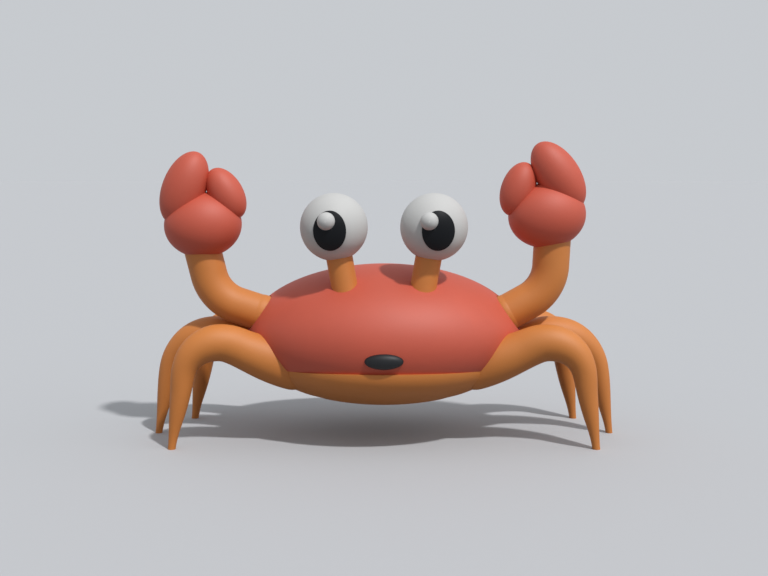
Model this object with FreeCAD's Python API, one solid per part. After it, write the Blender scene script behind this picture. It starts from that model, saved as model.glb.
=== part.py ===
import FreeCAD, Part
import math
import os
from collections import namedtuple

from FreeCAD import Matrix, Rotation, Vector

# Crab figurine, moulded in coloured plastic, in millimetres.
# +Z is up, the crab faces -Y, and left and right are as seen from the front.
# The origin is on the floor, under the middle of the body.

# Driving dimensions of the body, two moulded shells that meet at an arched seam
wall = 2.0
seam_z = 20.5
seam_drop = 1.8
carapace_centre_z = 27.0
carapace_half_width = 35.8
carapace_half_depth = 26.5
carapace_half_height = 18.15
belly_centre_z = 20.4
belly_side_inset = 4.3
belly_end_inset = 1.0
belly_half_height = 11.55

# Legs: a straight thigh, a round knee and a tapering shin, with feet set out from the body
middle_foot_reach = 24.2
outer_foot_reach = 17.5
outer_foot_end_inset = 9.7
leg_yaw_deg = 11.6
outer_leg_root_rise = 0.8
outer_leg_rise_deg = 23.6
outer_leg_thigh = 11.4
outer_leg_knee_radius = 8.9
outer_leg_shin_deg = 80.2
outer_leg_diameter = 9.5
middle_leg_root_rise = 1.9
middle_leg_rise_deg = 34.9
middle_leg_thigh = 3.92
middle_leg_knee_radius = 12.76
middle_leg_shin_deg = 79.7
middle_leg_diameter = 8.71
leg_root_inset = 4.8
leg_peg_radius = 2.6
leg_peg_length = 7.6
leg_flange_radius = 3.6
leg_flange_thickness = 1.4
# Shares of the length from the root to the floor, and of the leg's diameter
leg_stations_share = (-0.2, -0.11, 0.0, 0.09, 0.18, 0.27, 0.345, 0.42, 0.495, 0.57, 0.66, 0.82, 1.0)
leg_girths_share = (0.72, 1.14, 1.19, 1.14, 1.045, 1.0, 0.965, 0.88, 0.76, 0.655, 0.575, 0.405, 0.205)

# Shoulders: a ball on each arm in a cup, held by a pin through the arm's tab
shoulder_inset = 2.0
shoulder_forward = 4.0
shoulder_rise = 5.65
shoulder_ball_radius = 4.9
shoulder_gap = 0.2
socket_rise_deg = 24.0
arm_swing_deg = 10.0
cup_radius = 5.9
cup_offset = 2.6
cup_depth = 5.0
collar_wall = 1.5
tab_thickness = 2.4
tab_height = 4.0
tab_reach = 10.8
shoulder_pin_radius = 1.0
shoulder_pin_length = 6.6
shoulder_pin_reach = 9.0

# Arms, drawn with the claw upright, then turned at the shoulder
left_arm_turn_deg = -5.5
right_arm_turn_deg = 5.5
arm_radius = 4.72
arm_rise_deg = 23.8
arm_upper = 6.64
arm_elbow_radius = 11.1
arm_wrist_deg = 82.0
arm_forearm = 12.0
wrist_peg_radius = 2.6
wrist_peg_reach = 13.0

# Claws, measured outward and upward from the shoulder
palm_out = 12.55
palm_up = 24.3
palm_forward = 0.7
palm_half_width = 9.92
palm_half_depth = 8.1
palm_half_height = 8.38
large_finger_out = 16.08
large_finger_up = 34.1
large_finger_forward = 1.7
large_finger_half_length = 9.78
large_finger_half_width = 5.49
large_finger_half_depth = 5.3
large_finger_lean_deg = 28.2
small_finger_out = 5.68
small_finger_up = 31.7
small_finger_forward = 1.2
small_finger_half_length = 7.09
small_finger_half_width = 4.36
small_finger_half_depth = 4.4
small_finger_lean_deg = 24.0
finger_peg_radius = 1.5
palm_core_radius = 4.6

# Eyes on stalks
eye_x = 12.4
eye_y = -14.2
eye_rise = 14.7
eye_radius = 8.4
stalk_foot_x = 9.85
stalk_foot_inset = 0.6
stalk_radius = 3.3
stalk_peg_radius = 1.7
stalk_peg_depth = 5.0
pupil_half_width = 4.0
pupil_half_height = 4.88
pupil_seat_depth = 2.4
pupil_proud = 0.35
gaze_out_deg = 5.3
gaze_down_deg = 4.3
glint_radius = 2.2
glint_left = 1.5
glint_up = 1.8

# Mouth
mouth_inset = 0.2
mouth_drop = 3.1
mouth_half_width = 4.7
mouth_half_depth = 1.7
mouth_half_height = 2.0
mouth_peg_radius = 1.0
mouth_peg_length = 3.4

# Screws that close the body from below
screw_x = 17.0
screw_y = 10.0
screw_seat_z = 14.8
screw_head_radius = 2.0
screw_head_height = 1.4
screw_shank_radius = 0.9
screw_length = 13.0
screw_clearance = 0.35
recess_width = 0.7
recess_reach = 1.3
recess_depth = 0.8
post_radius = 2.7
belly_post_radius = 3.3

# Turns at which the two halves of a ball meet, clear of what crosses them
body_join_deg = -51.0
claw_join_deg = 0.0

# One overrun serves every cut
overrun = 1.0

UP = Vector(0, 0, 1)
FORWARD = Vector(0, -1, 0)
OUT = Vector(1, 0, 0)
ORIGIN = Vector(0, 0, 0)


def ball(radius, centre, poles, join_deg):
    """A ball made of two halves, which meet at the given turn about its poles."""
    near = Part.makeSphere(radius, ORIGIN, poles, -90, 90, 180)
    far = near.copy()
    far.rotate(ORIGIN, poles, 180)
    whole = near.fuse(far)
    whole.rotate(ORIGIN, poles, join_deg)
    whole.translate(centre)
    return whole


def ellipsoid(half, centre, poles, join_deg, lean_deg=0.0):
    """A ball stretched to three half sizes and leaning about the front-back line."""
    stretch = Matrix()
    stretch.scale(half.x, half.y, half.z)
    shape = ball(1.0, ORIGIN, poles, join_deg).transformGeometry(stretch)
    shape.rotate(ORIGIN, FORWARD, lean_deg)
    shape.translate(centre)
    return shape


def rod(radius, start, direction, length):
    return Part.makeCylinder(radius, length, start, direction)


def mirrored(shape):
    return shape.mirror(ORIGIN, OUT)


def both_sides(shape):
    return [shape, mirrored(shape)]


def in_plane(out, up):
    """A vector that runs outward to the right and upward."""
    return Vector(out, 0, up)


def heading(rise_deg):
    rise = math.radians(rise_deg)
    return in_plane(math.cos(rise), math.sin(rise))


# Body


def carapace_reach(half, other_half, other, height):
    """How far the carapace reaches along one level axis, from its places on the others."""
    rise = height / carapace_half_height
    return half * math.sqrt(1 - (other / other_half) ** 2 - rise**2)


def carapace_top(x, y):
    level = 1 - (x / carapace_half_width) ** 2 - (y / carapace_half_depth) ** 2
    return carapace_centre_z + carapace_half_height * math.sqrt(level)


def below_seam():
    """Everything under the arched seam, wider and deeper than the body."""
    reach = carapace_half_width + overrun
    depth = carapace_half_depth + overrun
    floor_z = belly_centre_z - belly_half_height - overrun
    left = Vector(-reach, -depth, seam_z - seam_drop)
    crown = Vector(0, -depth, seam_z)
    right = Vector(reach, -depth, seam_z - seam_drop)
    low_right = Vector(reach, -depth, floor_z)
    low_left = Vector(-reach, -depth, floor_z)
    edges = [
        Part.Arc(left, crown, right).toShape(),
        Part.makeLine(right, low_right),
        Part.makeLine(low_right, low_left),
        Part.makeLine(low_left, left),
    ]
    return Part.Face(Part.Wire(edges)).extrude(Vector(0, depth + depth, 0))


def carapace_body(inset=0.0):
    half = Vector(carapace_half_width - inset, carapace_half_depth - inset, carapace_half_height - inset)
    return ellipsoid(half, UP * carapace_centre_z, UP, body_join_deg).cut(below_seam())


def belly_body(inset=0.0):
    half_width = carapace_half_width - belly_side_inset
    half_depth = carapace_half_depth - belly_end_inset
    half = Vector(half_width - inset, half_depth - inset, belly_half_height - inset)
    return ellipsoid(half, UP * belly_centre_z, UP, body_join_deg).common(below_seam())


def screw_places():
    return [Vector(x, y, 0) for x in (-screw_x, screw_x) for y in (-screw_y, screw_y)]


def posts(radius, inside):
    """Screw posts that run from wall to seam, clipped by the solid body half."""
    height = carapace_centre_z + carapace_half_height
    return [rod(radius, place, UP, height).common(inside) for place in screw_places()]


def screw_recess(place):
    """Two crossed slots in the underside of a screw's head."""
    slot = Part.makeBox(recess_reach + recess_reach, recess_width, recess_depth + overrun)
    slot.translate(Vector(-recess_reach, -recess_width / 2, screw_seat_z - screw_head_height - overrun))
    crossed = slot.copy()
    crossed.rotate(ORIGIN, UP, 90)
    cross = slot.fuse(crossed)
    cross.translate(place)
    return cross


def screw(place):
    head = rod(screw_head_radius, place + UP * (screw_seat_z - screw_head_height), UP, screw_head_height)
    shank = rod(screw_shank_radius, place + UP * screw_seat_z, UP, screw_length)
    return head.fuse(shank).cut(screw_recess(place))


def screw_well(place):
    """The counterbore for the head and the clear hole for the shank, open below."""
    head_hole = rod(screw_head_radius + screw_clearance, place, UP, screw_seat_z)
    shank_hole = rod(screw_shank_radius + screw_clearance, place, UP, seam_z)
    return head_hole.fuse(shank_hole)


# Shoulders


def shoulder():
    side = carapace_reach(carapace_half_width, carapace_half_depth, shoulder_forward, shoulder_rise)
    return Vector(side - shoulder_inset, -shoulder_forward, carapace_centre_z + shoulder_rise)


def socket_collar():
    """The thick ring inside the carapace that surrounds the ball and holds the cup."""
    axis = heading(socket_rise_deg)
    depth = cup_offset + cup_depth
    length = depth + carapace_half_height
    return rod(cup_radius + collar_wall, shoulder() - axis * depth, axis, length)


def socket_cuts():
    """The ball's seat, the cup's bore and the room that the arm swings through."""
    axis = heading(socket_rise_deg)
    seat = Part.makeSphere(shoulder_ball_radius + shoulder_gap, shoulder())
    bore = rod(cup_radius, shoulder() - axis * cup_offset, -axis, cup_depth + overrun)
    swings = [-arm_swing_deg, 0.0, arm_swing_deg]
    reach = shoulder_ball_radius + arm_radius
    sweeps = [
        rod(arm_radius + shoulder_gap, shoulder(), heading(socket_rise_deg + turn), reach) for turn in swings
    ]
    return [seat, bore] + sweeps


def shoulder_slot_height():
    """Room for the tab to swing where it leaves the cup."""
    swing = math.radians(arm_swing_deg)
    drift = (cup_offset + cup_depth) * math.tan(swing)
    spread = tab_height / 2 / math.cos(swing)
    return (drift + spread + shoulder_gap) * 2


def shoulder_cup():
    """A plug with a round seat for the ball and a slot that keeps the tab in one plane."""
    axis = heading(socket_rise_deg)
    plug = rod(cup_radius, shoulder() - axis * cup_offset, -axis, cup_depth)
    seat = Part.makeSphere(shoulder_ball_radius + shoulder_gap, shoulder())
    slot_width = tab_thickness + shoulder_gap + shoulder_gap
    slot_length = cup_offset + cup_depth + overrun
    slot_height = shoulder_slot_height()
    slot = Part.makeBox(slot_length, slot_width, slot_height)
    slot.translate(Vector(-slot_length, -slot_width / 2, -slot_height / 2))
    slot.rotate(ORIGIN, FORWARD, socket_rise_deg)
    slot.translate(shoulder())
    return plug.cut(seat).cut(slot)


# Arms and claws


def elbow_path():
    """The arm's middle line: straight, a round elbow, and straight again into the palm."""
    start = ORIGIN
    bend_start = start + heading(arm_rise_deg) * arm_upper
    centre = bend_start + heading(arm_rise_deg + 90) * arm_elbow_radius
    middle = centre - heading((arm_rise_deg + arm_wrist_deg) / 2 + 90) * arm_elbow_radius
    bend_end = centre - heading(arm_wrist_deg + 90) * arm_elbow_radius
    end = bend_end + heading(arm_wrist_deg) * arm_forearm
    return start, bend_start, middle, bend_end, end


def palm_centre():
    return in_plane(palm_out, palm_up) + FORWARD * palm_forward


def palm_blank():
    half = Vector(palm_half_width, palm_half_depth, palm_half_height)
    return ellipsoid(half, palm_centre(), FORWARD, claw_join_deg)


def wrist_peg():
    bend_end = elbow_path()[3]
    return rod(wrist_peg_radius, bend_end, heading(arm_wrist_deg), wrist_peg_reach)


def large_finger_centre():
    return in_plane(large_finger_out, large_finger_up) + FORWARD * large_finger_forward


def small_finger_centre():
    return in_plane(small_finger_out, small_finger_up) + FORWARD * small_finger_forward


def finger_peg(finger_centre):
    """A peg from the middle of a finger towards the middle of the palm."""
    towards_palm = palm_centre() - finger_centre
    length = towards_palm.Length - palm_core_radius
    return rod(finger_peg_radius, finger_centre, towards_palm, length)


def arm():
    start, bend_start, middle, bend_end, end = elbow_path()
    path = Part.Wire(
        [
            Part.makeLine(start, bend_start),
            Part.Arc(bend_start, middle, bend_end).toShape(),
            Part.makeLine(bend_end, end),
        ]
    )
    section = Part.Wire([Part.makeCircle(arm_radius, start, heading(arm_rise_deg))])
    tube = path.makePipeShell([section], True, False).cut(palm_blank())
    root = ball(shoulder_ball_radius, start, FORWARD, arm_rise_deg + 90)
    tab = Part.makeBox(tab_reach, tab_thickness, tab_height)
    tab.translate(Vector(-tab_reach, -tab_thickness / 2, -tab_height / 2))
    tab.rotate(ORIGIN, FORWARD, arm_rise_deg)
    return tube.fuse([root, tab, wrist_peg()]).cut(shoulder_pin())


def shoulder_pin():
    """The pin across the tab's end that keeps the arm in its cup."""
    middle = heading(arm_rise_deg) * -shoulder_pin_reach
    return rod(shoulder_pin_radius, middle - FORWARD * (shoulder_pin_length / 2), FORWARD, shoulder_pin_length)


def palm():
    pegs = [wrist_peg(), finger_peg(large_finger_centre()), finger_peg(small_finger_centre())]
    return palm_blank().cut(pegs)


def large_finger_blank():
    half = Vector(large_finger_half_width, large_finger_half_depth, large_finger_half_length)
    return ellipsoid(half, large_finger_centre(), FORWARD, claw_join_deg, large_finger_lean_deg)


def large_finger():
    return large_finger_blank().cut(palm_blank()).fuse(finger_peg(large_finger_centre()))


def small_finger():
    half = Vector(small_finger_half_width, small_finger_half_depth, small_finger_half_length)
    blank = ellipsoid(half, small_finger_centre(), FORWARD, claw_join_deg, -small_finger_lean_deg)
    seated = blank.cut([palm_blank(), large_finger_blank()])
    return seated.fuse(finger_peg(small_finger_centre()))


def on_shoulder(shape, turn_deg):
    """Turns a piece of the right arm about the shoulder and puts it in place."""
    placed = shape.copy()
    placed.rotate(ORIGIN, FORWARD, turn_deg)
    placed.translate(shoulder())
    return placed


# Legs


LegForm = namedtuple("LegForm", "root_z rise_deg thigh knee_radius shin_deg diameter")

outer_leg = LegForm(
    seam_z + outer_leg_root_rise,
    outer_leg_rise_deg,
    outer_leg_thigh,
    outer_leg_knee_radius,
    outer_leg_shin_deg,
    outer_leg_diameter,
)
middle_leg = LegForm(
    seam_z + middle_leg_root_rise,
    middle_leg_rise_deg,
    middle_leg_thigh,
    middle_leg_knee_radius,
    middle_leg_shin_deg,
    middle_leg_diameter,
)


def knee_length(form):
    return form.knee_radius * math.radians(form.rise_deg + form.shin_deg)


def leg_line(form, distance):
    """The point and heading on the leg's middle line, in its own upright plane."""
    rise = form.rise_deg
    start = in_plane(0, form.root_z)
    if distance <= form.thigh:
        return start + heading(rise) * distance, heading(rise)
    knee_start = start + heading(rise) * form.thigh
    centre = knee_start - heading(rise + 90) * form.knee_radius
    turned = min(distance - form.thigh, knee_length(form)) / form.knee_radius
    direction = rise - math.degrees(turned)
    point = centre + heading(direction + 90) * form.knee_radius
    shin = max(distance - form.thigh - knee_length(form), 0)
    return point + heading(direction) * shin, heading(direction)


def leg_length(form):
    """Along the middle line from the root to the floor."""
    above_shin = form.thigh + knee_length(form)
    knee_end, direction = leg_line(form, above_shin)
    return above_shin + knee_end.z / -direction.z


def leg_place(form, foot_x, foot_y, yaw_deg):
    """A function that puts a leg's shape with its foot at the given place on the floor."""
    foot, _ = leg_line(form, leg_length(form))

    def put(shape):
        shape.translate(Vector(-foot.x, 0, 0))
        shape.rotate(ORIGIN, UP, yaw_deg)
        shape.translate(Vector(foot_x, foot_y, 0))
        return shape

    return put


def leg_places():
    """Each leg's form and where it goes, by name."""
    middle_x = carapace_half_width + middle_foot_reach
    outer_x = carapace_half_width + outer_foot_reach
    outer_y = carapace_half_depth - outer_foot_end_inset
    return {
        "front": (outer_leg, leg_place(outer_leg, outer_x, -outer_y, -leg_yaw_deg)),
        "middle": (middle_leg, leg_place(middle_leg, middle_x, 0, 0)),
        "back": (outer_leg, leg_place(outer_leg, outer_x, outer_y, leg_yaw_deg)),
    }


def leg_limb(form):
    """The tapering limb, from inside the body to a tip cut flat at the floor."""
    length = leg_length(form)
    stations = [share * length for share in leg_stations_share] + [length + overrun]
    girths = list(leg_girths_share) + [leg_girths_share[-1]]
    sections = []
    for distance, girth in zip(stations, girths):
        point, direction = leg_line(form, distance)
        sections.append(Part.Wire([Part.makeCircle(girth * form.diameter / 2, point, direction)]))
    limb = Part.makeLoft(sections, True, False)
    under_floor = Part.makeBox(length + length, form.diameter + form.diameter, form.diameter)
    under_floor.translate(Vector(0, -form.diameter, -form.diameter))
    return limb.cut(under_floor)


def leg_peg(form):
    point, direction = leg_line(form, -leg_root_inset)
    return rod(leg_peg_radius, point, direction, leg_peg_length)


def leg_flange(form):
    point, direction = leg_line(form, -leg_root_inset)
    return rod(leg_flange_radius, point, direction, leg_flange_thickness)


# Eyes and mouth


def stalk_foot():
    """Just under the carapace's surface, on the right."""
    return Vector(stalk_foot_x, eye_y, carapace_top(stalk_foot_x, eye_y) - stalk_foot_inset)


def eye_centre(side):
    return Vector(side * eye_x, eye_y, stalk_foot().z + eye_rise)


def eye_globe(side):
    return Part.makeSphere(eye_radius, eye_centre(side), FORWARD)


def stalk_axis():
    foot = stalk_foot()
    direction = eye_centre(1) - foot
    direction.normalize()
    return foot, direction


def stalk_peg():
    foot, direction = stalk_axis()
    length = (eye_centre(1) - foot).Length + stalk_peg_depth - eye_radius + stalk_peg_depth
    return rod(stalk_peg_radius, foot - direction * stalk_peg_depth, direction, length)


def eye_stalk():
    foot, direction = stalk_axis()
    length = (eye_centre(1) - foot).Length + stalk_peg_depth
    tube = rod(stalk_radius, foot - direction * stalk_peg_depth, direction, length)
    return tube.cut([carapace_body(), eye_globe(1)]).fuse(stalk_peg())


def gaze(side):
    """The way that an eye looks: forward, a little outward and down."""
    out = math.radians(gaze_out_deg)
    down = math.radians(gaze_down_deg)
    level = math.cos(down)
    return Vector(side * math.sin(out) * level, -math.cos(out) * level, -math.sin(down))


def pupil_plug(side):
    """An oval bar along the gaze, from the pupil's seat outward."""
    look = gaze(side)
    across = UP.cross(look)
    across.normalize()
    upright = look.cross(across)
    oval = Part.Ellipse(ORIGIN, pupil_half_height, pupil_half_width).toShape()
    bar = Part.Face(Part.Wire([oval])).extrude(UP * eye_radius)
    turn = Rotation(upright, look.cross(upright), look, "ZXY")
    bar.rotate(ORIGIN, turn.Axis, math.degrees(turn.Angle))
    bar.translate(eye_centre(side) + look * (eye_radius - pupil_seat_depth))
    return bar


def eye_glint(side):
    ahead = math.sqrt(eye_radius**2 - glint_left**2 - glint_up**2)
    place = eye_centre(side) + Vector(-glint_left, -ahead, glint_up)
    return Part.makeSphere(glint_radius, place, FORWARD)


def pupil(side):
    dome = Part.makeSphere(eye_radius + pupil_proud, eye_centre(side), FORWARD)
    return pupil_plug(side).common(dome).cut(eye_glint(side))


def eyeball(side):
    peg = stalk_peg() if side > 0 else mirrored(stalk_peg())
    return eye_globe(side).cut([pupil_plug(side), eye_glint(side), peg])


def mouth_centre():
    front = carapace_reach(carapace_half_depth, carapace_half_width, 0, mouth_drop)
    return FORWARD * (front - mouth_inset) + UP * (carapace_centre_z - mouth_drop)


def mouth_peg():
    return rod(mouth_peg_radius, mouth_centre(), -FORWARD, mouth_peg_length)


def mouth():
    half = Vector(mouth_half_width, mouth_half_depth, mouth_half_height)
    dome = ellipsoid(half, mouth_centre(), FORWARD, claw_join_deg)
    return dome.cut(carapace_body()).fuse(mouth_peg())


# Assembly


def all_leg_pegs():
    pegs = []
    for form, put in leg_places().values():
        pegs += both_sides(put(leg_peg(form)))
    return pegs


def carapace():
    solid = carapace_body()
    inner = [post for post in posts(post_radius, solid)]
    inner += both_sides(socket_collar().common(solid))
    shell = solid.cut(carapace_body(wall)).fuse(inner)
    cuts = all_leg_pegs() + both_sides(stalk_peg()) + [mouth_peg()]
    cuts += [screw(place) for place in screw_places()]
    for tool in socket_cuts():
        cuts += both_sides(tool)
    return shell.cut(cuts)


def belly():
    solid = belly_body()
    shell = solid.cut(belly_body(wall)).fuse(posts(belly_post_radius, solid))
    return shell.cut(all_leg_pegs() + [screw_well(place) for place in screw_places()])


def leg(form, put, shells):
    limb = put(leg_limb(form)).cut([carapace_body(), belly_body()])
    flange = put(leg_flange(form)).cut(shells)
    return limb.fuse([put(leg_peg(form)), flange])


def build():
    """Every node's shape, by name."""
    nodes = {"carapace": carapace(), "belly": belly()}
    shells = [nodes["carapace"], nodes["belly"]]
    for name, (form, put) in leg_places().items():
        shape = leg(form, put, shells)
        nodes[f"{name}_leg_right"] = shape
        nodes[f"{name}_leg_left"] = mirrored(shape)
    limbs = {"arm": arm(), "shoulder_pin": shoulder_pin(), "palm": palm()}
    limbs.update({"large_finger": large_finger(), "small_finger": small_finger()})
    for name, shape in limbs.items():
        nodes[f"{name}_right"] = on_shoulder(shape, right_arm_turn_deg)
        nodes[f"{name}_left"] = mirrored(on_shoulder(shape, left_arm_turn_deg))
    for name, shape in {"shoulder_cup": shoulder_cup(), "eye_stalk": eye_stalk()}.items():
        nodes[f"{name}_right"] = shape
        nodes[f"{name}_left"] = mirrored(shape)
    for side, word in ((1, "right"), (-1, "left")):
        nodes[f"eyeball_{word}"] = eyeball(side)
        nodes[f"pupil_{word}"] = pupil(side)
        nodes[f"eye_glint_{word}"] = eye_glint(side)
    nodes["mouth"] = mouth()
    nodes["belly_screws"] = Part.makeCompound([screw(place) for place in screw_places()])
    return nodes


os.makedirs("parts", exist_ok=True)
for node, shape in build().items():
    solids = shape.Solids
    print(node, len(solids), "solids", round(shape.Volume, 1), "mm3", "valid" if shape.isValid() else "INVALID")
    whole = solids[0] if len(solids) == 1 else Part.makeCompound(solids)
    whole.exportStep(f"parts/{node}.step")
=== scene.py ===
import math
from collections import namedtuple

import bmesh
import bpy
from bpy.props import FloatProperty, FloatVectorProperty, PointerProperty
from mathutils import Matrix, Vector

bl_info = {
    "name": "Crab Figurine",
    "version": (1, 0, 0),
    "blender": (4, 5, 0),
    "location": "3D View > Sidebar > Crab",
    "description": "Finishes the crab figurine in moulded vinyl and sets its stage",
    "category": "Object",
}

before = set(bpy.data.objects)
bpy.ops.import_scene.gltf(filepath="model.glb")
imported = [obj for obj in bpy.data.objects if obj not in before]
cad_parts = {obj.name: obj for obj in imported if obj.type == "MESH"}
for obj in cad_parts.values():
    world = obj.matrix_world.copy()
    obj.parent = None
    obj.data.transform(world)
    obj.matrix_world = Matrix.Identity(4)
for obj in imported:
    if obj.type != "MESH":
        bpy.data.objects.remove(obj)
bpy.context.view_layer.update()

SIDES = ("left", "right")
LEG_ROWS = ("front", "middle", "back")
SIGHT_RAYS = ("Camera", "Glossy", "Transmission")

CRISP_EDGE_DEG = 35.0

# Moulded vinyl: noise sizes are in grains, shares are of 1
PIGMENT_GRAINS = 3.0
CLOUD_SHARE = 0.75
CLOUD_DETAIL = 3.0
GRAIN_DETAIL = 2.0
PIGMENT_SEED = 3.0
GRAIN_SEED = 7.0
ROUGHNESS_DRIFT = 0.1

# Plated steel
SCRATCH_GRAINS = 0.5
SCRATCH_DETAIL = 4.0
SCRATCH_DARK = 0.8
SCRATCH_LIGHT = 1.1
STEEL_ROUGHNESS = 0.25
STEEL_ROUGHNESS_DRIFT = 0.2

# A distant lamp, in degrees: how far round the crab it stands, how high, and how soft it is
Lamp = namedtuple("Lamp", "turn rise spread")
KEY_LAMP = Lamp(turn=36.0, rise=55.0, spread=3.0)
FILL_LAMP = Lamp(turn=75.0, rise=25.0, spread=60.0)

FLOOR_SIDES = 96
FLOOR_ROUGHNESS = 0.9
SKY_LIGHT = (0.9, 0.95, 1.0)
SENSOR_MM = 36.0
NEAREST_VIEW = 0.01

# Where a Mix node keeps its two colours and their blend
FIRST_COLOUR, SECOND_COLOUR, BLENDED_COLOUR = 6, 7, 2


# Sizes and colours


class CrabColours(bpy.types.PropertyGroup):
    """The colours that the figurine is moulded in."""

    shell_red: FloatVectorProperty(
        name="Shell red",
        description="Carapace, palms and fingers",
        subtype="COLOR",
        min=0.0,
        max=1.0,
        default=(0.565, 0.085, 0.042),
    )
    body_orange: FloatVectorProperty(
        name="Body orange",
        description="Belly, legs, arms and eye stalks",
        subtype="COLOR",
        min=0.0,
        max=1.0,
        default=(0.613, 0.199, 0.031),
    )
    eye_white: FloatVectorProperty(
        name="Eye white",
        description="Eyeballs and glints",
        subtype="COLOR",
        min=0.0,
        max=1.0,
        default=(0.565, 0.557, 0.542),
    )
    black: FloatVectorProperty(
        name="Black",
        description="Pupils and mouth",
        subtype="COLOR",
        min=0.0,
        max=1.0,
        default=(0.008, 0.009, 0.011),
    )
    nylon: FloatVectorProperty(
        name="Nylon",
        description="Shoulder cups inside the body",
        subtype="COLOR",
        min=0.0,
        max=1.0,
        default=(0.6, 0.58, 0.52),
    )
    steel: FloatVectorProperty(
        name="Steel",
        description="Screws under the belly and pins in the shoulders",
        subtype="COLOR",
        min=0.0,
        max=1.0,
        default=(0.55, 0.56, 0.58),
    )


class CrabFinish(bpy.types.PropertyGroup):
    """How the moulded surfaces look close up."""

    roughness: FloatProperty(
        name="Roughness",
        description="Middle roughness of the moulded vinyl",
        subtype="FACTOR",
        min=0.0,
        max=1.0,
        default=0.61,
    )
    gloss: FloatProperty(
        name="Gloss",
        description="How strongly the vinyl's surface reflects",
        subtype="FACTOR",
        min=0.0,
        max=1.0,
        default=0.78,
    )
    cloud_size: FloatProperty(
        name="Cloud size",
        description="Size of the slow drifts in the vinyl's colour",
        unit="LENGTH",
        min=0.0,
        default=0.016,
    )
    grain_size: FloatProperty(
        name="Grain size",
        description="Size of the fine texture that the mould leaves",
        unit="LENGTH",
        min=0.0,
        default=0.0009,
    )
    grain_height: FloatProperty(
        name="Grain height",
        description="Height of the fine texture",
        unit="LENGTH",
        min=0.0,
        default=0.00001,
    )


class CrabStage(bpy.types.PropertyGroup):
    """The camera, the lamps and the floor."""

    camera_place: FloatVectorProperty(
        name="Camera place",
        description="Where the camera stands",
        subtype="TRANSLATION",
        unit="LENGTH",
        default=(0.0, -0.27837, 0.0701),
    )
    camera_dip: FloatProperty(
        name="Camera dip",
        description="How far the camera looks down",
        subtype="ANGLE",
        default=math.radians(6.4168),
    )
    lens: FloatProperty(
        name="Lens",
        description="Focal length on a 36 mm sensor",
        unit="CAMERA",
        min=1.0,
        default=50.0,
    )
    floor_radius: FloatProperty(
        name="Floor radius",
        description="Radius of the round floor",
        unit="LENGTH",
        min=0.0,
        default=6.0,
    )
    floor_colour: FloatVectorProperty(
        name="Floor colour",
        description="Pale floor",
        subtype="COLOR",
        min=0.0,
        max=1.0,
        default=(0.5, 0.505, 0.52),
    )
    floor_bounce: FloatProperty(
        name="Floor bounce",
        description="How much of its paleness the floor shows to soft light",
        subtype="FACTOR",
        min=0.0,
        max=1.0,
        default=0.25,
    )
    key_strength: FloatProperty(
        name="Key strength",
        description="Distant lamp in front, above and to the right",
        min=0.0,
        default=2.25,
    )
    fill_strength: FloatProperty(
        name="Fill strength",
        description="Wide distant lamp low on the right",
        min=0.0,
        default=0.35,
    )
    sky_strength: FloatProperty(
        name="Sky strength",
        description="Even light from all round",
        min=0.0,
        default=0.53,
    )
    backdrop_colour: FloatVectorProperty(
        name="Backdrop colour",
        description="What lies beyond the floor",
        subtype="COLOR",
        min=0.0,
        max=1.0,
        default=(0.571, 0.593, 0.622),
    )


# Shader recipes


class Value:
    """A shader socket that can be used in sums. Each sum adds a Math node."""

    def __init__(self, recipe, socket):
        self.recipe = recipe
        self.socket = socket

    def maths(self, operation, first, second):
        return self.recipe.node("ShaderNodeMath", {"operation": operation}, {0: first, 1: second})

    def __add__(self, other):
        return self.maths("ADD", self, other)

    __radd__ = __add__

    def __mul__(self, other):
        return self.maths("MULTIPLY", self, other)

    __rmul__ = __mul__


class Recipe:
    """A material or world whose nodes are added one method call at a time."""

    def __init__(self, owner):
        owner.use_nodes = True
        self.tree = owner.node_tree
        self.tree.nodes.clear()

    def node(self, kind, settings=None, inputs=None, output=0):
        """Adds a node, applies its settings, fills its sockets and gives one output."""
        made = self.tree.nodes.new(kind)
        for name, value in (settings or {}).items():
            setattr(made, name, value)
        for key, value in (inputs or {}).items():
            if isinstance(value, Value):
                self.tree.links.new(value.socket, made.inputs[key])
            else:
                made.inputs[key].default_value = value
        return Value(self, made.outputs[output]) if made.outputs else None

    def noise(self, size, detail, seed):
        """Noise from 0 to 1 whose features are about the given size in metres."""
        place = self.node("ShaderNodeTexCoord", output="Object")
        shift = (seed, seed, seed)
        moved = self.node("ShaderNodeVectorMath", {"operation": "ADD"}, {0: place, 1: shift})
        return self.node(
            "ShaderNodeTexNoise",
            inputs={"Vector": moved, "Scale": 1.0 / size, "Detail": detail},
        )

    def mix(self, factor, first, second):
        """A colour between two."""
        return self.node(
            "ShaderNodeMix",
            {"data_type": "RGBA"},
            {"Factor": factor, FIRST_COLOUR: first, SECOND_COLOUR: second},
            output=BLENDED_COLOUR,
        )

    def end(self, shader, kind="ShaderNodeOutputMaterial"):
        self.node(kind, inputs={"Surface": shader})


def opaque(colour):
    return (*colour, 1.0)


def tinted(colour, factor):
    """A colour made lighter or darker."""
    return opaque(min(part * factor, 1.0) for part in colour)


def new_material(name):
    return bpy.data.materials.new(name)


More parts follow.
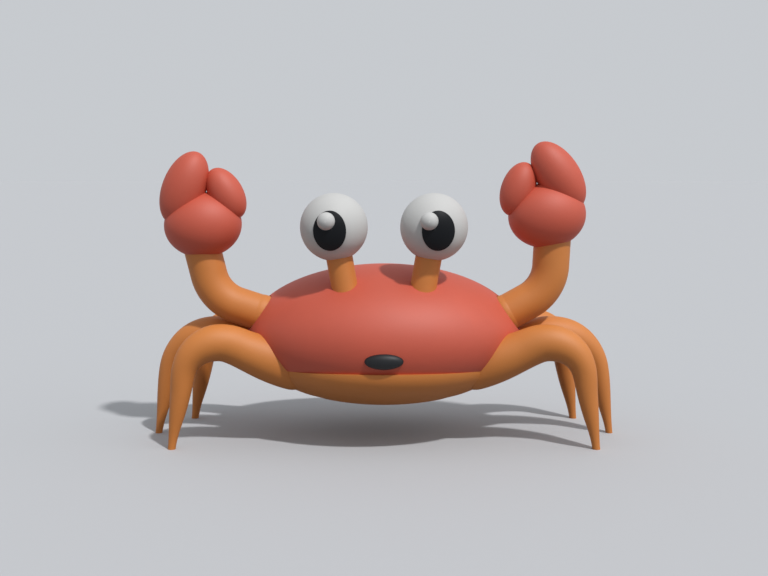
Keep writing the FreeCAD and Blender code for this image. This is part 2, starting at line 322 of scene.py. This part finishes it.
def moulded(name, colour, seed, drift=0.1, roughness=None, gloss=None):
    """Smooth moulded vinyl: slow drifts of pigment, uneven gloss and a fine grain."""
    finish = bpy.context.scene.crab_finish
    middle = finish.roughness if roughness is None else roughness
    shine = finish.gloss if gloss is None else gloss
    material = new_material(name)
    recipe = Recipe(material)
    clouds = recipe.noise(finish.cloud_size, CLOUD_DETAIL, seed)
    pigment = recipe.noise(finish.grain_size * PIGMENT_GRAINS, GRAIN_DETAIL, seed + PIGMENT_SEED)
    grain = recipe.noise(finish.grain_size, GRAIN_DETAIL, seed + GRAIN_SEED)
    blend = clouds * CLOUD_SHARE + pigment * (1.0 - CLOUD_SHARE)
    paint = recipe.mix(blend, tinted(colour, 1.0 - drift), tinted(colour, 1.0 + drift))
    bump = recipe.node(
        "ShaderNodeBump",
        inputs={"Strength": 1.0, "Distance": finish.grain_height, "Height": grain},
    )
    shader = recipe.node(
        "ShaderNodeBsdfPrincipled",
        inputs={
            "Base Color": paint,
            "Roughness": clouds * ROUGHNESS_DRIFT + (middle - ROUGHNESS_DRIFT / 2.0),
            "Specular IOR Level": shine,
            "Normal": bump,
        },
    )
    recipe.end(shader)
    return material


def turned_steel(name, colour, seed):
    """Zinc-plated steel with fine scratches."""
    finish = bpy.context.scene.crab_finish
    material = new_material(name)
    recipe = Recipe(material)
    scratches = recipe.noise(finish.grain_size * SCRATCH_GRAINS, SCRATCH_DETAIL, seed)
    paint = recipe.mix(scratches, tinted(colour, SCRATCH_DARK), tinted(colour, SCRATCH_LIGHT))
    shader = recipe.node(
        "ShaderNodeBsdfPrincipled",
        inputs={
            "Base Color": paint,
            "Metallic": 1.0,
            "Roughness": scratches * STEEL_ROUGHNESS_DRIFT + STEEL_ROUGHNESS,
        },
    )
    recipe.end(shader)
    return material


def pairs(*stems):
    return [f"{stem}_{side}" for stem in stems for side in SIDES]


def dress(names, material):
    """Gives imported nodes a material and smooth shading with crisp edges."""
    for name in names:
        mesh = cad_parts[name].data
        mesh.materials.clear()
        mesh.materials.append(material)
        mesh.shade_smooth()
        mesh.set_sharp_from_angle(angle=math.radians(CRISP_EDGE_DEG))


# Pieces


class CRAB_OT_carapace(bpy.types.Operator):
    """Finish the red upper shell"""

    bl_idname = "crab.carapace"
    bl_label = "Carapace"

    def execute(self, context):
        red = context.scene.crab_colours.shell_red
        dress(["carapace"], moulded("carapace_red", red, seed=1.0))
        return {"FINISHED"}


class CRAB_OT_belly(bpy.types.Operator):
    """Finish the orange lower shell"""

    bl_idname = "crab.belly"
    bl_label = "Belly"

    def execute(self, context):
        orange = context.scene.crab_colours.body_orange
        dress(["belly"], moulded("belly_orange", orange, seed=2.0))
        return {"FINISHED"}


class CRAB_OT_legs(bpy.types.Operator):
    """Finish the six legs"""

    bl_idname = "crab.legs"
    bl_label = "Legs"

    def execute(self, context):
        orange = context.scene.crab_colours.body_orange
        names = [f"{row}_leg_{side}" for row in LEG_ROWS for side in SIDES]
        dress(names, moulded("leg_orange", orange, seed=3.0))
        return {"FINISHED"}


class CRAB_OT_arms(bpy.types.Operator):
    """Finish the two arms"""

    bl_idname = "crab.arms"
    bl_label = "Arms"

    def execute(self, context):
        orange = context.scene.crab_colours.body_orange
        dress(pairs("arm"), moulded("arm_orange", orange, seed=4.0))
        return {"FINISHED"}


class CRAB_OT_claws(bpy.types.Operator):
    """Finish the palms and fingers"""

    bl_idname = "crab.claws"
    bl_label = "Claws"

    def execute(self, context):
        red = context.scene.crab_colours.shell_red
        names = pairs("palm", "large_finger", "small_finger")
        dress(names, moulded("claw_red", red, seed=5.0))
        return {"FINISHED"}


class CRAB_OT_stalks(bpy.types.Operator):
    """Finish the eye stalks"""

    bl_idname = "crab.stalks"
    bl_label = "Eye stalks"

    def execute(self, context):
        orange = context.scene.crab_colours.body_orange
        dress(pairs("eye_stalk"), moulded("stalk_orange", orange, seed=6.0))
        return {"FINISHED"}


class CRAB_OT_eyeballs(bpy.types.Operator):
    """Finish the eyeballs and their glints"""

    bl_idname = "crab.eyeballs"
    bl_label = "Eyeballs and glints"

    def execute(self, context):
        white = context.scene.crab_colours.eye_white
        matt = moulded("eye_white", white, seed=7.0, drift=0.03, roughness=0.6, gloss=0.3)
        dress(pairs("eyeball", "eye_glint"), matt)
        return {"FINISHED"}


class CRAB_OT_black(bpy.types.Operator):
    """Finish the pupils and the mouth"""

    bl_idname = "crab.black"
    bl_label = "Pupils and mouth"

    def execute(self, context):
        black = context.scene.crab_colours.black
        dull = moulded("pupil_black", black, seed=8.0, drift=0.2, roughness=0.5, gloss=0.15)
        satin = moulded("mouth_black", black, seed=11.0, drift=0.2, roughness=0.5, gloss=0.4)
        dress(pairs("pupil"), dull)
        dress(["mouth"], satin)
        return {"FINISHED"}


class CRAB_OT_cups(bpy.types.Operator):
    """Finish the shoulder cups inside the body"""

    bl_idname = "crab.cups"
    bl_label = "Shoulder cups"

    def execute(self, context):
        nylon = context.scene.crab_colours.nylon
        smooth = moulded("nylon", nylon, seed=9.0, drift=0.04, roughness=0.4)
        dress(pairs("shoulder_cup"), smooth)
        return {"FINISHED"}


class CRAB_OT_screws(bpy.types.Operator):
    """Finish the screws under the belly and the pins in the shoulders"""

    bl_idname = "crab.screws"
    bl_label = "Screws and pins"

    def execute(self, context):
        steel = turned_steel("zinc_steel", context.scene.crab_colours.steel, seed=10.0)
        dress(["belly_screws"] + pairs("shoulder_pin"), steel)
        return {"FINISHED"}


# Stage


def add_floor(stage):
    """A round pale floor. It can't be seen from below, and it throws back little light."""
    mesh = bpy.data.meshes.new("floor")
    draft = bmesh.new()
    bmesh.ops.create_circle(
        draft, cap_ends=True, segments=FLOOR_SIDES, radius=stage.floor_radius
    )
    draft.to_mesh(mesh)
    draft.free()
    floor = bpy.data.objects.new("floor", mesh)
    bpy.context.scene.collection.objects.link(floor)
    material = new_material("pale_floor")
    mesh.materials.append(material)
    recipe = Recipe(material)
    dim = tinted(stage.floor_colour, stage.floor_bounce)
    paint = recipe.mix(sharp_sight(recipe), dim, opaque(stage.floor_colour))
    matt = recipe.node(
        "ShaderNodeBsdfPrincipled",
        inputs={"Base Color": paint, "Roughness": FLOOR_ROUGHNESS},
    )
    clear = recipe.node("ShaderNodeBsdfTransparent")
    under = recipe.node("ShaderNodeNewGeometry", output="Backfacing")
    recipe.end(recipe.node("ShaderNodeMixShader", inputs={0: under, 1: matt, 2: clear}))


def sharp_sight(recipe):
    """1 for what the camera sees straight on, in a gloss or through glass, 0 for soft light."""
    camera, glossy, through = [
        recipe.node("ShaderNodeLightPath", output=f"Is {kind} Ray") for kind in SIGHT_RAYS
    ]
    return recipe.node("ShaderNodeClamp", inputs={"Value": camera + glossy + through})


def add_sun(name, place, strength):
    """A distant lamp that shines from a given side of the crab."""
    data = bpy.data.lights.new(name, "SUN")
    data.energy = strength
    data.angle = math.radians(place.spread)
    lamp = bpy.data.objects.new(name, data)
    towards = round_the_crab(math.radians(place.turn), math.radians(place.rise))
    lamp.location = towards
    lamp.rotation_mode = "QUATERNION"
    lamp.rotation_quaternion = (-towards).to_track_quat("-Z", "Y")
    bpy.context.scene.collection.objects.link(lamp)


def round_the_crab(turn, rise):
    """A direction from the crab: turned from its front to the camera's right, and raised."""
    level = math.cos(rise)
    return Vector((math.sin(turn) * level, -math.cos(turn) * level, math.sin(rise)))


def add_sky(stage):
    """Even light from all round, behind a pale background."""
    world = bpy.data.worlds.new("studio")
    bpy.context.scene.world = world
    recipe = Recipe(world)
    light = recipe.node(
        "ShaderNodeBackground",
        inputs={"Color": opaque(SKY_LIGHT), "Strength": stage.sky_strength},
    )
    pale = recipe.node(
        "ShaderNodeBackground",
        inputs={"Color": opaque(stage.backdrop_colour), "Strength": 1.0},
    )
    both = recipe.node(
        "ShaderNodeMixShader",
        inputs={0: sharp_sight(recipe), 1: light, 2: pale},
    )
    recipe.end(both, "ShaderNodeOutputWorld")


def add_camera(stage):
    data = bpy.data.cameras.new("camera")
    data.lens = stage.lens
    data.sensor_width = SENSOR_MM
    data.clip_start = NEAREST_VIEW
    camera = bpy.data.objects.new("camera", data)
    camera.location = stage.camera_place
    camera.rotation_euler = (math.radians(90.0) - stage.camera_dip, 0.0, 0.0)
    bpy.context.scene.collection.objects.link(camera)
    bpy.context.scene.camera = camera


class CRAB_OT_stage(bpy.types.Operator):
    """Set the floor, the lamps, the sky and the camera"""

    bl_idname = "crab.stage"
    bl_label = "Stage"

    def execute(self, context):
        stage = context.scene.crab_stage
        add_floor(stage)
        add_sun("key_lamp", KEY_LAMP, stage.key_strength)
        add_sun("fill_lamp", FILL_LAMP, stage.fill_strength)
        add_sky(stage)
        add_camera(stage)
        context.scene.view_settings.view_transform = "Standard"
        return {"FINISHED"}


class CRAB_PT_panel(bpy.types.Panel):
    """Lists the sizes, the colours and the pieces"""

    bl_idname = "CRAB_PT_panel"
    bl_label = "Crab Figurine"
    bl_space_type = "VIEW_3D"
    bl_region_type = "UI"
    bl_category = "Crab"

    def draw(self, context):
        scene = context.scene
        for group in (scene.crab_colours, scene.crab_finish, scene.crab_stage):
            box = self.layout.box()
            for name in group.__annotations__:
                box.prop(group, name)
        for operator in OPERATORS:
            self.layout.operator(operator.bl_idname)


GROUPS = {"crab_colours": CrabColours, "crab_finish": CrabFinish, "crab_stage": CrabStage}
OPERATORS = (
    CRAB_OT_carapace,
    CRAB_OT_belly,
    CRAB_OT_legs,
    CRAB_OT_arms,
    CRAB_OT_claws,
    CRAB_OT_stalks,
    CRAB_OT_eyeballs,
    CRAB_OT_black,
    CRAB_OT_cups,
    CRAB_OT_screws,
    CRAB_OT_stage,
)
CLASSES = (*GROUPS.values(), *OPERATORS, CRAB_PT_panel)


def register():
    for made in CLASSES:
        bpy.utils.register_class(made)
    for name, group in GROUPS.items():
        setattr(bpy.types.Scene, name, PointerProperty(type=group))


def unregister():
    for name in GROUPS:
        delattr(bpy.types.Scene, name)
    for made in reversed(CLASSES):
        bpy.utils.unregister_class(made)


def run(operator):
    """Calls an operator by its name."""
    area, name = operator.bl_idname.split(".")
    getattr(getattr(bpy.ops, area), name)()


def main():
    register()
    for operator in OPERATORS:
        run(operator)


if __name__ == "__main__":
    main()
